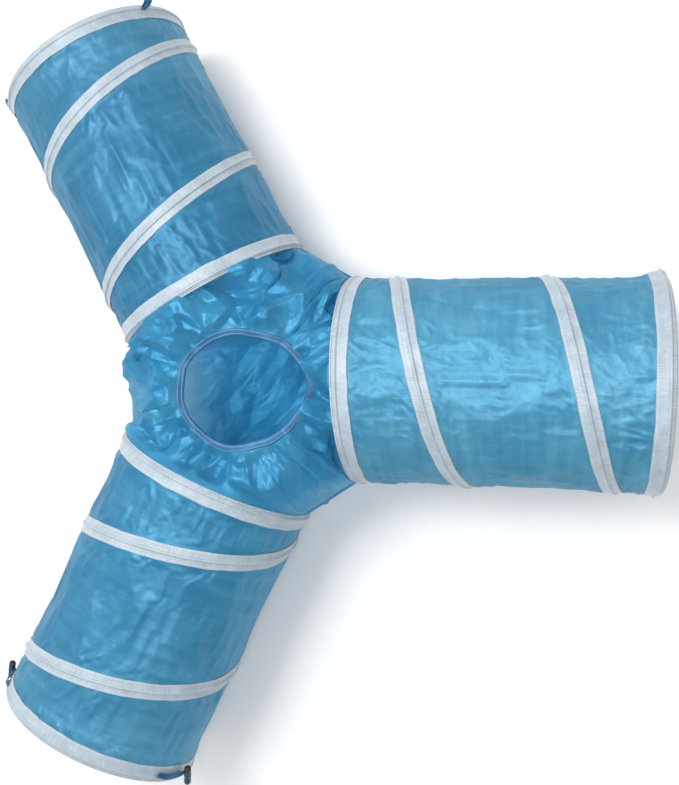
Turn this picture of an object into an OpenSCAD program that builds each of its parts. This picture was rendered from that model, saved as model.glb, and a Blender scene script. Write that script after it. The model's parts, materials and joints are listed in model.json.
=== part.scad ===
// Three-way collapsible pet tunnel: three spring-wire arms sewn to one soft hub.
// The hub centre is on the floor at the origin, +Z is up and arm A runs along +X.

/* [Hub] */
// Distance from the hub centre to the inner hoop of each arm
hub_r = 127; // [115:1:160]
// Direction of arm B in plan, in degrees from arm A
arm_b_angle = 118; // [112:1:125]
// Direction of arm C in plan, in degrees from arm A
arm_c_angle = -116; // [-125:1:-112]
// Diameter of the peephole in the roof of the hub
peephole_d = 128; // [100:1:134]
// How far the peephole is from the middle of the roof, along arm A
peephole_x = 9; // [-15:1:15]
// How far the peephole is from the middle of the roof, towards arm B's side
peephole_y = -16; // [-20:1:20]
// Width of the binding round the peephole
peephole_binding_w = 8; // [5:0.5:9]
// Diameter of the patch of the hub floor that lies flat
hub_floor_d = 170; // [80:5:200]
// How far the roof sags at the peephole below the tops of the hoops
roof_sag = 14; // [0:1:40]

/* [Arms] */
// Diameter of the hoops and of the coil, measured to the middle of the wire
hoop_d = 250; // [220:5:300]
// Length of an arm from its inner hoop to its outer hoop
arm_l = 344; // [250:5:500]
// Number of turns of the coil between the two hoops
coil_turns = 2; // [2:1:3]
// Diameter of the spring wire
wire_d = 1.6; // [1.2:0.1:1.8]
// Thickness given to the woven fabric
fabric_t = 0.8; // [0.4:0.1:0.8]
// Thickness of the crackle film inside arm A
film_t = 0.5; // [0.3:0.1:0.6]

/* [Tape] */
// Width of the tape sewn over the coil
coil_tape_w = 20; // [14:1:26]
// How far the hoop tape reaches from the wire towards the middle of the arm
hoop_tape_far = 14; // [10:0.5:20]
// How far the hoop tape reaches past the wire
hoop_tape_near = 5; // [4:0.5:7]
// Thickness of the tape
tape_t = 0.6; // [0.4:0.1:0.7]

/* [Loops and toggles] */
// Width of the narrow straps
strap_w = 7; // [5:0.5:9]
// Thickness of a loop's strap
strap_t = 1; // [0.8:0.1:1.5]
// Length of a connecting loop
loop_l = 20; // [14:1:30]
// Length of a toggle barrel
toggle_l = 34; // [26:1:40]
// Diameter of a toggle barrel
toggle_d = 8; // [6:0.5:10]
// Positions of the two loops round the mouth of arm B, in degrees from the top
loop_angles = [54, -76];
// Positions of the two toggle straps round the mouth of arm C, in degrees from the top
toggle_strap_angles = [-62, 64];

/* [Hidden] */
ARMS = ["a", "b", "c"];

$fn = 96;
fabric_blue = [0.16, 0.47, 0.66];
tape_white = [0.86, 0.88, 0.90];
wire_grey = [0.62, 0.64, 0.66];
film_white = [0.90, 0.93, 0.95];
toggle_black = [0.06, 0.06, 0.07];

// Play between two layers that lie on each other, and how far a cut reaches past what it cuts.
gap = 0.4;
cut = 1;

// Layers of an arm, as radii from its axis, from the fabric out to the top of the tape.
wire_r = hoop_d / 2;
fabric_out_r = wire_r - wire_d / 2 - 1;
fabric_in_r = fabric_out_r - fabric_t;
flange_in_r = fabric_out_r + gap;
flange_out_r = flange_in_r + tape_t;
ridge_in_r = wire_r + wire_d / 2 + 0.9;
ridge_out_r = ridge_in_r + tape_t;
axis_z = ridge_out_r;
film_gap = 0.1;
film_end = 6;

// The ridge that a tape makes over a wire: half the room inside its top, how much wider its foot is,
// and how thick its walls are there. Over a hoop the ridge covers both the hoop and the coil's end.
ridge_room = 1.1;
ridge_flare = 0.6;
ridge_top_t = 0.5;
ridge_foot_t = 0.7;
hoop_ridge_near = 1.5;
hoop_ridge_flare = 0.4;

// Where the coil's end lies beside a hoop and is crimped to it.
join_s = wire_d + 0.2;
join_arc = 9;
crimp_arc = 7;
crimp_wall = 0.4;
crimp_play = 0.25;
notch_from = 1.5;
notch_s = 1;

coil_arc = 360 * coil_turns;
coil_rise = arm_l - 2 * join_s;
notch_play = 0.3;
coil_tape_start_s = notch_s + notch_play + 3;
tube_end = hoop_tape_near - 0.1;
lip_t = 0.6;
lip_play = 0.2;
hub_rim = hub_r - hoop_tape_near - 0.2;
roof_z = axis_z + fabric_out_r - roof_sag;
roof_patch_margin = 2;
facets = 48;

// A loop's root is a bend of this radius. Loop 1 stands this far out past the hoop.
loop_root_r = 2.5;
loop_1_s = 1;

// A toggle strap lies round the rim for this many degrees, this far in from the hoop, to its barrel.
strap_arc = 19;
strap_s = -4;
strap_in_r = ridge_out_r + gap;
tail_t = 1.6;
wrap_in_r = toggle_d / 2 - 0.8;
wrap_out_r = toggle_d / 2 + 0.1;
waist_play = 0.3;
barrel_r = strap_in_r + tail_t + gap + toggle_d / 2;
barrel_lean = 40;
barrel_round_r = 2;

function arm_angle(arm) = arm == "a" ? 0 : arm == "b" ? arm_b_angle : arm_c_angle;

// How far along the arm the coil is after turning by t degrees from the bottom of the inner hoop.
function coil_s(t) = join_s + coil_rise * max(0, min(t, coil_arc)) / coil_arc;
function coil_t(s) = (s - join_s) / coil_rise * coil_arc;
// The point at radius r, at a distance s along the arm and t degrees round it from the bottom.
function on_coil(r, s, t) = [r * cos(180 + t), r * sin(180 + t), s];

// Puts its children on an arm: local Z runs outward along the axis, local X is up.
module on_arm(arm) {
    rotate([0, 0, arm_angle(arm)])
        translate([0, 0, axis_z])
            rotate([0, 90, 0])
                rotate([0, 0, 180])
                    translate([0, 0, hub_r])
                        children();
}

// The same hoop set, turned end for end, finishes the mouth of the arm.
module at_mouth() {
    translate([0, 0, arm_l])
        rotate([180, 0, 0])
            children();
}

// A profile drawn as [s, r] points, turned round the arm's axis.
module turned(profile) {
    rotate_extrude($fn = 180)
        polygon([for (p = profile) [p[1], p[0]]]);
}

// One part of a turn, from angle a0 to a1 measured from the bottom, between s0 and s1.
module sector(a0, a1, r0, r1, s0, s1) {
    rotate([0, 0, 180 + a0])
        rotate_extrude(angle = a1 - a0, $fn = 180)
            translate([r0, s0])
                square([r1 - r0, s1 - s0]);
}

module tube(r_in, r_out, s0, s1) {
    translate([0, 0, s0])
        difference() {
            cylinder(r = r_out, h = s1 - s0, $fn = 180);
            translate([0, 0, -cut])
                cylinder(r = r_in, h = s1 - s0 + 2 * cut, $fn = 180);
        }
}

// A closed skin through rings of points that all have the same number of points. A folded
// profile lists its outer edge and then its inner edge, and each of its ends is a row of quads.
module skin(rings, folded = false) {
    n = len(rings[0]);
    last = len(rings) - 1;
    polyhedron(
        points = [for (ring = rings) each ring],
        faces = concat(
            folded ? [for (i = [0 : n / 2 - 2]) [i, i + 1, n - 2 - i, n - 1 - i]]
                : [[for (i = [0 : n - 1]) i]],
            [for (k = [0 : last - 1]) for (i = [0 : n - 1])
                [k * n + (i + 1) % n, k * n + i, (k + 1) * n + i]],
            [for (k = [0 : last - 1]) for (i = [0 : n - 1])
                [k * n + (i + 1) % n, (k + 1) * n + i, (k + 1) * n + (i + 1) % n]],
            folded ? [for (i = [0 : n / 2 - 2]) [for (j = [n - 1 - i, n - 2 - i, i + 1, i]) last * n + j]]
                : [[for (i = [n - 1 : -1 : 0]) last * n + i]]));
}

module fabric_tube() {
    color(fabric_blue)
        tube(fabric_in_r, fabric_out_r, -tube_end, arm_l + tube_end);
}

module crackle_film() {
    film_out_r = fabric_in_r - film_gap;
    color(film_white)
        tube(film_out_r - film_t, film_out_r, film_end, arm_l - film_end);
}

module hoop() {
    color(wire_grey)
        rotate_extrude($fn = 180)
            translate([wire_r, 0])
                circle(d = wire_d, $fn = 24);
}

module coil_spring() {
    sides = 6;
    turn = 360 / facets;
    steps = concat([for (t = [-join_arc : 2.25 : -0.1]) t], [for (t = [0 : turn : coil_arc]) t],
        [for (t = [coil_arc + 2.25 : 2.25 : coil_arc + join_arc]) t]);
    color(wire_grey)
        skin([for (t = steps) [for (i = [0 : sides - 1]) let (a = 360 * i / sides)
            on_coil(wire_r + wire_d / 2 * cos(a), coil_s(t) - wire_d / 2 * sin(a), t)]]);
}

// A hat-shaped tape that bridges the coil's wire. Its flanges are trimmed where they meet a hoop tape.
module coil_tape() {
    t0 = coil_t(coil_tape_start_s);
    steps = round((coil_arc - 2 * t0) * facets / 360);
    half = coil_tape_w / 2;
    edge = notch_s + notch_play;
    foot = ridge_room + ridge_flare;
    color(tape_white)
        skin([for (k = [0 : steps]) let (
            t = t0 + (coil_arc - 2 * t0) * k / steps,
            s = coil_s(t),
            lo = max(s - half, edge),
            hi = min(s + half, arm_l - edge))
            [for (p = [[flange_in_r, lo], [flange_in_r, s - foot], [ridge_in_r, s - ridge_room],
                [ridge_in_r, s + ridge_room], [flange_in_r, s + foot], [flange_in_r, hi],
                [flange_out_r, hi], [flange_out_r, s + foot + ridge_foot_t],
                [ridge_out_r, s + ridge_room + ridge_top_t], [ridge_out_r, s - ridge_room - ridge_top_t],
                [flange_out_r, s - foot - ridge_foot_t], [flange_out_r, lo]])
                on_coil(p[0], p[1], t)]], folded = true);
}

// The tape over a hoop, with a notch where the coil and its tape come out from under it.
module hoop_tape(lip) {
    near = -hoop_ridge_near;
    wide = join_s + ridge_room + ridge_flare;
    near_foot = near - hoop_ridge_flare;
    wide_foot = wide + hoop_ridge_flare;
    profile = concat(
        lip ? [[-hoop_tape_near - lip_t, flange_out_r], [-hoop_tape_near - lip_t, fabric_in_r + lip_play],
            [-hoop_tape_near, fabric_in_r + lip_play]] : [[-hoop_tape_near, flange_out_r]],
        [[-hoop_tape_near, flange_in_r], [near_foot, flange_in_r], [near, ridge_in_r], [wide, ridge_in_r],
            [wide_foot, flange_in_r], [hoop_tape_far, flange_in_r], [hoop_tape_far, flange_out_r],
            [wide_foot + ridge_foot_t, flange_out_r], [wide + ridge_top_t, ridge_out_r],
            [near - ridge_top_t, ridge_out_r], [near_foot - ridge_foot_t, flange_out_r]]);
    notch_to = coil_t(hoop_tape_far + coil_tape_w / 2) + 3;
    color(tape_white)
        difference() {
            turned(profile);
            sector(notch_from, notch_to, fabric_out_r, ridge_out_r + cut, notch_s, hoop_tape_far + cut);
        }
}

// The flat steel sleeve that holds the coil's end against the hoop.
module crimp() {
    half_r = wire_d / 2 + crimp_play;
    to = -notch_from;
    from = to - crimp_arc;
    color(wire_grey)
        difference() {
            sector(from, to, wire_r - half_r - crimp_wall, wire_r + half_r + crimp_wall,
                -half_r - crimp_wall, join_s + half_r + crimp_wall);
            sector(from - cut, to + cut, wire_r - half_r, wire_r + half_r, -half_r, join_s + half_r);
        }
}

// The hub's skin is a grid of points. Each ring of the grid runs once round the hub, past the three
// rims and the three side seams between them. It is [x, y, height over the axis, 0 at a rim's top to
// 1 at a seam]. A patch is [x, y, radius]: the flat middle that the grid slopes out from, in an arc
// towards the seams and more gently towards the rims.
rim_steps = 24;
seam_steps = 3;
slope_steps = 7;
half_gap = 0.1;

function rim_point(arm, phi, r) = let (a = arm_angle(arm))
    [hub_rim * cos(a) - r * sin(phi) * sin(a), hub_rim * sin(a) + r * sin(phi) * cos(a),
        r * cos(phi), pow(sin(phi), 2)];
function hub_loop(r) = [for (k = [0 : 2]) let (
    from = rim_point(ARMS[k], 90, r),
    to = rim_point(ARMS[(k + 1) % 3], -90, r))
    each concat(
        [for (i = [0 : rim_steps]) rim_point(ARMS[k], -90 + 180 * i / rim_steps, r)],
        [for (i = [1 : seam_steps - 1]) from + (to - from) * i / seam_steps])];
function slope_ring(loop, patch, patch_z, side, psi) = [for (p = loop) let (
    plan = [p[0], p[1]],
    middle = [patch[0], patch[1]],
    inner = middle + (plan - middle) * patch[2] / norm(plan - middle),
    z = axis_z + side * max(p[2], half_gap))
    [each (inner + (plan - inner) * sin(psi)), z + (patch_z - z) * pow(cos(psi), 2 - p[3])]];

module hub_half(side, patch, patch_z) {
    outer = hub_loop(fabric_out_r);
    inner = hub_loop(fabric_in_r);
    rings = concat(
        [for (j = [0 : slope_steps]) slope_ring(outer, patch, patch_z, side, 90 * j / slope_steps)],
        [for (j = [slope_steps : -1 : 0])
            slope_ring(inner, patch, patch_z - side * fabric_t, side, 90 * j / slope_steps)]);
    skin(side < 0 ? rings : [for (ring = rings) [for (i = [len(ring) - 1 : -1 : 0]) ring[i]]]);
}

module hub_roof_panel() {
    color(fabric_blue)
        difference() {
            hub_half(1, [peephole_x, peephole_y, peephole_d / 2 + peephole_binding_w + roof_patch_margin],
                roof_z);
            translate([peephole_x, peephole_y, axis_z])
                cylinder(d = peephole_d, h = 2 * axis_z, $fn = 120);
        }
}

module hub_floor_panel() {
    color(fabric_blue)
        hub_half(-1, [0, 0, hub_floor_d / 2], 0);
}

// The seam allowances stand inside the hub, folded into a binding, one at each side seam.
module hub_seam_bindings() {
    depth = 8;
    thick = 1.6;
    short = 8;
    off = 0.5;
    color(fabric_blue)
        for (k = [0 : 2]) {
            from = rim_point(ARMS[k], 90, fabric_in_r);
            to = rim_point(ARMS[(k + 1) % 3], -90, fabric_in_r);
            run = [to[0] - from[0], to[1] - from[1]];
            translate([from[0], from[1], axis_z])
                rotate([0, 0, atan2(run[1], run[0])])
                    translate([short, off, -thick / 2])
                        cube([norm(run) - 2 * short, depth, thick]);
        }
}

// The folded strip that binds the raw edge of the peephole.
module peephole_binding() {
    strip_t = 0.5;
    play = 0.15;
    top = roof_z + play;
    bottom = roof_z - fabric_t - play;
    out_r = peephole_d / 2 + peephole_binding_w;
    in_r = peephole_d / 2 - 0.1;
    color(fabric_blue)
        translate([peephole_x, peephole_y, 0])
            rotate_extrude($fn = 120)
                polygon([[out_r, top], [out_r, top + strip_t], [in_r - strip_t, top + strip_t],
                    [in_r - strip_t, bottom - strip_t], [out_r, bottom - strip_t], [out_r, bottom],
                    [in_r, bottom], [in_r, top]]);
}

// Puts its children on the rim of an arm's mouth: local X is radial, local Z runs outward.
module on_rim(arm, angle, r, s) {
    on_arm(arm)
        rotate([0, 0, angle])
            translate([r, 0, arm_l + s])
                children();
}

// A narrow strap folded into a loop. It pivots about its root and reaches loop_l along local Z.
module loop() {
    color(fabric_blue)
        translate([0, strap_w / 2, 0])
            rotate([90, 0, 0])
                linear_extrude(strap_w)
                    difference() {
                        stadium(loop_root_r);
                        stadium(loop_root_r - strap_t);
                    }
}

module stadium(r) {
    run = loop_l - 2 * loop_root_r;
    circle(r, $fn = 48);
    translate([0, run])
        circle(r, $fn = 48);
    translate([-r, 0])
        square([2 * r, run]);
}

// Loop 1 has flopped over and points away from the arm; loop 2 points along it.
module arm_b_loop(n) {
    if (n == 1)
        on_rim("b", loop_angles[0], ridge_out_r + gap + loop_root_r, loop_1_s)
            rotate([0, 90, 0])
                loop();
    else
        on_rim("b", loop_angles[1], fabric_out_r, hoop_tape_near + lip_t + gap + loop_root_r)
            loop();
}

// A toggle strap starts on top of the rim and hangs down round it, to a barrel.
function toggle_side(n) = sign(toggle_strap_angles[n - 1]);
function barrel_angle(n) = toggle_strap_angles[n - 1] + toggle_side(n) * strap_arc;

module toggle_strap(n) {
    first = min(toggle_strap_angles[n - 1], barrel_angle(n));
    color(fabric_blue)
        on_arm("c")
            translate([0, 0, arm_l])
                rotate([0, 0, 180])
                    sector(first, first + strap_arc, strap_in_r, strap_in_r + tail_t, strap_s - strap_w / 2,
                        strap_s + strap_w / 2);
}

// Puts its children at a barrel's middle, with local Z along the barrel.
module at_barrel(n) {
    on_rim("c", barrel_angle(n), barrel_r, strap_s)
        rotate([-toggle_side(n) * barrel_lean, 0, 0])
            children();
}

// A barrel with rounded ends, and a groove round its middle for the strap.
module toggle_barrel(n) {
    r = toggle_d / 2;
    end = toggle_l / 2 - barrel_round_r;
    waist = strap_w / 2 + gap;
    color(toggle_black)
        at_barrel(n)
            difference() {
                union() {
                    translate([0, 0, -end])
                        cylinder(r = r, h = 2 * end, $fn = 48);
                    for (side = [-1, 1])
                        translate([0, 0, side * end])
                            rounded_end(r);
                }
                tube(wrap_in_r - waist_play, r + cut, -waist, waist);
            }
}

// A disc with a round edge, which finishes one end of a barrel.
module rounded_end(r) {
    rotate_extrude($fn = 48)
        union() {
            translate([r - barrel_round_r, 0])
                circle(barrel_round_r, $fn = 32);
            translate([0, -barrel_round_r])
                square([r - barrel_round_r, 2 * barrel_round_r]);
        }
}

// The turn of strap that lies in a barrel's groove.
module toggle_wrap(n) {
    color(fabric_blue)
        at_barrel(n)
            tube(wrap_in_r, wrap_out_r, -strap_w / 2, strap_w / 2);
}

hub_roof_panel();
hub_floor_panel();
hub_seam_bindings();
peephole_binding();
on_arm("a") crackle_film();  // arm_a_crackle_film
for (arm = ARMS) {
    on_arm(arm) fabric_tube();
    on_arm(arm) coil_spring();
    on_arm(arm) coil_tape();
    on_arm(arm) hoop();
    on_arm(arm) hoop_tape(false);
    on_arm(arm) crimp();
    on_arm(arm) at_mouth() hoop();
    on_arm(arm) at_mouth() hoop_tape(true);
    on_arm(arm) at_mouth() crimp();
}
for (n = [1, 2]) {
    arm_b_loop(n);
    toggle_strap(n);
    toggle_barrel(n);
    toggle_wrap(n);
}
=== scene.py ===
"""Looks of a three-way pet tunnel: draped cloth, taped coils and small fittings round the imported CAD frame."""

import json
import math

import bmesh
import bpy
import numpy as np
from mathutils import Matrix, Vector


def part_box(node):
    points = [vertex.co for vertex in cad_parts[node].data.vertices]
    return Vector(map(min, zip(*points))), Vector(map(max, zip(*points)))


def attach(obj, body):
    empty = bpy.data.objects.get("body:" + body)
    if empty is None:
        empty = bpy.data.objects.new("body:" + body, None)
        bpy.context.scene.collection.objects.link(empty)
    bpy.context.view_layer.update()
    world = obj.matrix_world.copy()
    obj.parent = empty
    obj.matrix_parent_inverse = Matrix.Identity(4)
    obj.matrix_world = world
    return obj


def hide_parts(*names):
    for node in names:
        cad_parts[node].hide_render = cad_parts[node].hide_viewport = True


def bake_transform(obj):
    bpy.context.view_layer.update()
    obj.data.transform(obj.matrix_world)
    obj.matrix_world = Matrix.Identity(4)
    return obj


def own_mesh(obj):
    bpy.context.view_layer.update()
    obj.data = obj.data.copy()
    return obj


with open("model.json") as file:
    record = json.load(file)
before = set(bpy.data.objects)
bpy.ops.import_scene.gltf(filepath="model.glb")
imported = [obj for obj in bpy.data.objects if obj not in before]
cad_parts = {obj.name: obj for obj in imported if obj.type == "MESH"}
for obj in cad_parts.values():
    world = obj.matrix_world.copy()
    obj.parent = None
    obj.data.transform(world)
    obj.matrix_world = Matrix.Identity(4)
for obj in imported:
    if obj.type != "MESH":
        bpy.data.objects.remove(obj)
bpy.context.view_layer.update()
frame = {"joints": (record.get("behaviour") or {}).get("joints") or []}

# ---------------------------------------------------------------- sizes, from the frame
ARMS = "abc"
SEED = {"a": 11, "b": 23, "c": 37}
joints = {j["name"]: j for j in frame["joints"]}


def middle(node):
    """The middle of a CAD node's box."""
    low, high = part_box(node)
    return (low + high) / 2


def span(node):
    """The size of a CAD node's box."""
    low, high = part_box(node)
    return high - low


WIRE = span("arm_a_inner_hoop").x
AXIS_Z = middle("arm_a_inner_hoop").z
HOOP_R = span("arm_a_inner_hoop").z / 2 - WIRE / 2
HUB_R = middle("arm_a_inner_hoop").x
ARM_L = middle("arm_a_outer_hoop").x - HUB_R
CLOTH_R = span("arm_a_fabric_tube").z / 2
TUBE_END = span("arm_a_fabric_tube").x / 2 - ARM_L / 2
JOIN = WIRE + 0.0002  # from a hoop to the coil that starts beside it
TURNS = 2
TAPE_HALF = 0.0105  # half the width of the coil tape
HOOP_TAPE_FAR = 0.014  # how far the hoop tape reaches towards the middle of the arm
HOLE = middle("peephole_binding")
HEM_W = 0.008
HOLE_R = span("peephole_binding").x / 2 - HEM_W
MM = 0.001

# How the arms lie: each pair is the lean of the inner and the outer hoop, top outward, in degrees.
LEAN = {"a": (-3.3, 0.4), "b": (-7.4, -5.5), "c": (2.7, -2.9)}
# Degrees that each arm lies turned from its own line, to its right.
TURNED = {"a": 2.2, "b": 0.0, "c": 0.0}

# Where the hoop at a mouth is bent: the arm, s, phi, the height, and the width along s and in phi.
BUMPS = [("a", ARM_L, math.radians(-84), 7 * MM, 0.02, 0.09), ("a", ARM_L, math.radians(97), 3 * MM, 0.02, 0.1)]
# Crease layers for plain and crackled cloth: count, length, height, width, and whether they start at a sewn wire.
CREASES = {
    False: [(240, (0.012, 0.05), (0.6 * MM, 2.0 * MM), (2.5 * MM, 7 * MM), True),
            (120, (0.03, 0.12), (0.5 * MM, 1.3 * MM), (4 * MM, 12 * MM), False)],
    True: [(240, (0.012, 0.06), (0.8 * MM, 2.2 * MM), (2.2 * MM, 5 * MM), True),
           (900, (0.010, 0.035), (0.4 * MM, 1.2 * MM), (1.8 * MM, 4 * MM), False)],
}
# The barrels at the toggle straps: how they lean, in degrees, their length and their radius.
BARREL_LEAN = 40
TOGGLE_L = 0.034
TOGGLE_R = 0.004


# ---------------------------------------------------------------- small tools
def smooth(x):
    x = np.clip(x, 0, 1)
    return x * x * (3 - 2 * x)


def circle(count, closed=False):
    """Angles evenly round a circle. closed adds the first one again at the end, a full turn on."""
    return np.linspace(0, 2 * math.pi, count + closed, endpoint=closed)


def cross(first, second):
    """Two arrays that give both values at every point of a grid."""
    return np.meshgrid(first, second, indexing="ij")


def noise(u, v, rng, cells_u=64, cells_v=64):
    """Smooth noise from -1 to 1 that repeats every cells_u and cells_v units."""
    table = rng.uniform(-1, 1, (cells_u, cells_v))
    u, v = np.broadcast_arrays(u, v)
    i, j = np.floor(u).astype(int), np.floor(v).astype(int)
    fu, fv = smooth(u - i), smooth(v - j)
    i0, i1, j0, j1 = i % cells_u, (i + 1) % cells_u, j % cells_v, (j + 1) % cells_v
    low = table[i0, j0] * (1 - fu) + table[i1, j0] * fu
    high = table[i0, j1] * (1 - fu) + table[i1, j1] * fu
    return low * (1 - fv) + high * fv


def tents(points, starts, ends, heights, widths, bends):
    """Sharp-ridged folds over points in a plane. Each runs from a start to an end, and the highest one counts."""
    total = np.zeros(len(points))
    for a, b, height, (left, right), bend in zip(starts, ends, heights, widths, bends):
        run = b - a
        length = max(np.linalg.norm(run), 1e-6)
        run = run / length
        rel = points - a
        t = rel @ run / length
        inside = (t > 0) & (t < 1)
        if not inside.any():
            continue
        t = t[inside]
        taper = smooth(t * 2.6) * smooth((1 - t) * 2.6)
        across = rel[inside] @ np.array([-run[1], run[0]]) + bend * length * np.sin(math.pi * t)
        side = np.where(across > 0, across / left, -across / right) / (0.35 + 0.65 * taper)
        total[inside] = np.maximum(total[inside], height * taper * np.clip(1 - side, 0, 1))
    return total


def spokes(points, rng, layers, counts, slope, centre):
    """Sharp-edged folds that run out from a centre, in layers that each fade in and out over the plane."""
    total = np.zeros(len(points))
    away = points - centre
    r = np.hypot(away[:, 0], away[:, 1])
    angle = np.arctan2(away[:, 1], away[:, 0]) / (2 * math.pi)
    for _ in range(layers):
        swirl, phase = rng.uniform(0, math.pi) - 1.5, rng.uniform(0, 1)
        count = round(rng.uniform(*counts))
        bend, fade = (noise(*(points.T / 0.045 + 30), rng) for _ in range(2))
        x = count * (angle + 0.6 * (r - HOLE_R) * swirl) + 0.15 * bend + phase
        height = slope * math.pi * np.clip(r, HOLE_R * 0.7, None) / count
        total += height * (np.abs(2 * (x - np.floor(x + 0.5))) - 0.5) * smooth(0.45 + 1.6 * fade)
    return total


def crumpled(points, rng, spacing, slope, knots):
    """Crumpled cloth: long flat-sided pits side by side, with sharp ridges where they meet. From 0 up.

    The pits point at the nearest of some knots, given as x, y and how far each one reaches.
    """
    cells, reach = 48, 3
    place = np.stack(cross(np.arange(cells), np.arange(cells)), -1)
    place = place + rng.uniform(0, 1, (cells, cells, 2))
    turn = rng.uniform(0, math.pi, (cells, cells))
    for x, y, radius in knots:
        away = (place - cells / 2) * spacing - (x, y)
        near = np.hypot(away[..., 0], away[..., 1]) < radius
        turn[near] = np.arctan2(away[..., 1], away[..., 0])[near] + rng.normal(0, 0.35, near.sum())
    cos, sin = np.cos(turn), np.sin(turn)
    depth = rng.uniform(0, 0.45, (cells, cells))
    long = rng.uniform(0.2, 0.6, (cells, cells))
    grid = points / spacing + cells / 2
    base = np.floor(grid).astype(int)
    nearest = np.full(len(points), 9.0)
    for di in range(-reach, reach + 1):
        for dj in range(-reach, reach + 1):
            i, j = base[:, 0] + di, base[:, 1] + dj
            d = grid - place[i, j]
            along = np.abs(d[:, 0] * cos[i, j] + d[:, 1] * sin[i, j]) * long[i, j]
            across = np.abs(d[:, 1] * cos[i, j] - d[:, 0] * sin[i, j])
            nearest = np.minimum(nearest, np.maximum(np.maximum(along, across), 0.72 * (along + across)) + depth[i, j])
    return slope * spacing * nearest


def finer(points):
    """Twice the points along both sides of a grid whose second side is closed, on a smooth curve through them."""
    rolled = [np.roll(points, k, 1) for k in (1, 0, -1, -2)]
    between = (-rolled[0] + 9 * rolled[1] + 9 * rolled[2] - rolled[3]) / 16
    wide = np.stack([points, between], 2).reshape(len(points), -1, 3)
    padded = np.concatenate([2 * wide[:1] - wide[1:2], wide, 2 * wide[-1:] - wide[-2:-1]])
    between = (-padded[:-3] + 9 * padded[1:-2] + 9 * padded[2:-1] - padded[3:]) / 16
    out = np.empty((2 * len(wide) - 1, wide.shape[1], 3))
    out[0::2] = wide
    out[1::2] = between
    return out


class Arm:
    """An arm's own coordinates: s along it from the inner hoop, phi from the top towards its right, and radius."""

    def __init__(self, name):
        self.name = name
        self.joint = joints[f"arm_{name}_collapse"]
        self.out = np.array(self.joint["axis"], float)
        self.right = np.array([self.out[1], -self.out[0], 0.0])
        self.start = self.out * HUB_R + np.array([0, 0, AXIS_Z])
        self.lean = [math.tan(math.radians(a)) for a in LEAN[name]]
        self.turned = math.tan(math.radians(TURNED[name]))

    def place(self, s, phi, r):
        """The points at s, phi and r on the arm as it lies, leaning, turned and bent."""
        s, phi, r = np.broadcast_arrays(s, phi, r)
        r = r + self.bumps(s, phi)
        up, side = r * np.cos(phi), r * np.sin(phi)
        share = np.clip(s / ARM_L, 0, 1)
        s = s + up * (self.lean[0] * (1 - share) + self.lean[1] * share) - side * self.turned * share
        side = side + self.turned * ARM_L * share
        return (
            self.start
            + s[..., None] * self.out
            + side[..., None] * self.right
            + up[..., None] * np.array([0, 0, 1.0])
        )

    def bumps(self, s, phi):
        """Where the hoop at a mouth is bent out of round."""
        total = np.zeros(np.shape(s))
        for arm, s0, phi0, height, ws, wphi in BUMPS:
            if arm == self.name:
                turn = np.arctan2(np.sin(phi - phi0), np.cos(phi - phi0))
                total = total + height * np.exp(-(((s - s0) / ws) ** 2) - np.abs(turn / wphi) ** 1.5)
        return total

    def local(self, point):
        """The s, phi and radius of a CAD point, before the arm's lean."""
        d = np.array(point, float) - self.start
        side, up = d @ self.right, d[2]
        return d @ self.out, math.atan2(side, up), math.hypot(side, up)


arms = {name: Arm(name) for name in ARMS}


def coil_s(t):
    """How far along an arm its coil has come after t degrees."""
    return JOIN + (ARM_L - 2 * JOIN) * np.clip(t, 0, 360 * TURNS) / (360 * TURNS)


def wire_lines(phi):
    """The distances along an arm at which wire passes the angle phi, sorted, one row for each."""
    t = np.degrees(phi) - 180
    rows = [np.zeros_like(t)]
    rows += [coil_s(t % 360 + 360 * k) for k in range(TURNS)]
    return np.stack(rows + [np.full_like(t, ARM_L)])


def make_object(name, verts, faces, uvs=None, material=()):
    """A smooth-shaded mesh. material is one material or a list of them."""
    mesh = bpy.data.meshes.new(name)
    mesh.from_pydata([tuple(v) for v in np.asarray(verts, float)], [], faces)
    if uvs is not None:
        layer = mesh.uv_layers.new(name="UVMap")
        layer.data.foreach_set("uv", np.asarray(uvs, np.float32).ravel())
    mesh.polygons.foreach_set("use_smooth", [True] * len(mesh.polygons))
    mesh.update()
    obj = bpy.data.objects.new(name, mesh)
    bpy.context.collection.objects.link(obj)
    for m in material if isinstance(material, (list, tuple)) else [material]:
        mesh.materials.append(m)
    return obj


def make_grid(name, points, u, v, closed_u=False, closed_v=False, material=(), caps=False):
    """A skin through points[nu, nv]. u and v are its surface coordinates in metres, one longer than a closed side."""
    nu, nv = points.shape[:2]
    a, b = (k.ravel() for k in cross(np.arange(nu - (not closed_u)), np.arange(nv - (not closed_v))))
    cu, cv = np.stack([a, a + 1, a + 1, a], 1), np.stack([b, b, b + 1, b + 1], 1)
    faces = ((cu % nu) * nv + cv % nv).tolist()
    uvs = np.stack([np.asarray(u)[cu], np.asarray(v)[cv]], -1).reshape(-1, 2)
    if caps:
        faces += [list(range(nv)), list(range((nu - 1) * nv, nu * nv))[::-1]]
        uvs = np.concatenate([uvs, np.zeros((2 * nv, 2))])
    return make_object(name, points.reshape(-1, 3), faces, uvs, material)


def face_out(obj):
    """Turns every face of a closed piece outward."""
    bm = bmesh.new()
    bm.from_mesh(obj.data)
    bmesh.ops.recalc_face_normals(bm, faces=bm.faces)
    bm.to_mesh(obj.data)
    bm.free()
    return obj


def points_of(mesh, what="co"):
    """The places of a mesh's points, or their normals."""
    values = np.zeros(len(mesh.vertices) * 3)
    mesh.vertices.foreach_get(what, values)
    return values.reshape(-1, 3)


def set_points(obj, co):
    obj.data.vertices.foreach_set("co", np.asarray(co, float).ravel())
    obj.data.update()


CLOTH_STIFF = 18
PIN_LEVELS = 20


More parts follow.
